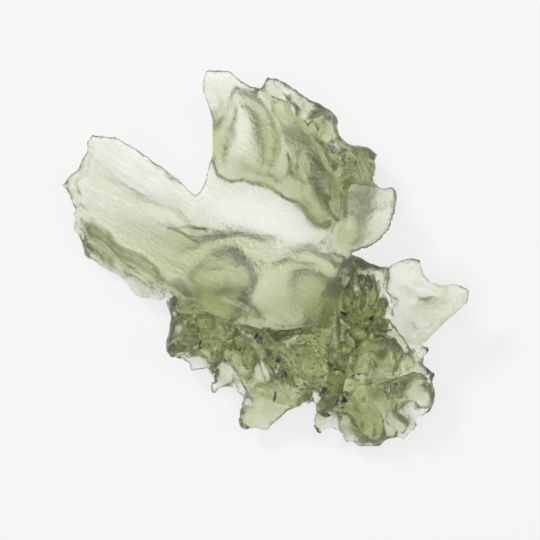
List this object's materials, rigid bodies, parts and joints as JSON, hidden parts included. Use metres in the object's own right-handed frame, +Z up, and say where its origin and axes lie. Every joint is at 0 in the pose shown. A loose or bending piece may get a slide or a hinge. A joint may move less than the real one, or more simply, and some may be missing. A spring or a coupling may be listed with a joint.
{
  "type": "moldavite",
  "caption": "Raw moldavite, a splash of clear olive-green natural glass: a thin shell with wings over a deeply etched body, lying on its worn tips.",
  "frame": {"origin": "under the middle of the stone's box, on the surface that the stone lies on", "axes": "+Z up, +X from the left wing's tip to the right wing's tip, +Y from the body to the tower"},
  "size_m": [0.041, 0.038, 0.0116],
  "materials": {
    "natural_glass": "etched satin, see-through olive green"
  },
  "bodies": {
    "root": {"moldavite": "natural_glass"}
  },
  "joints": []
}
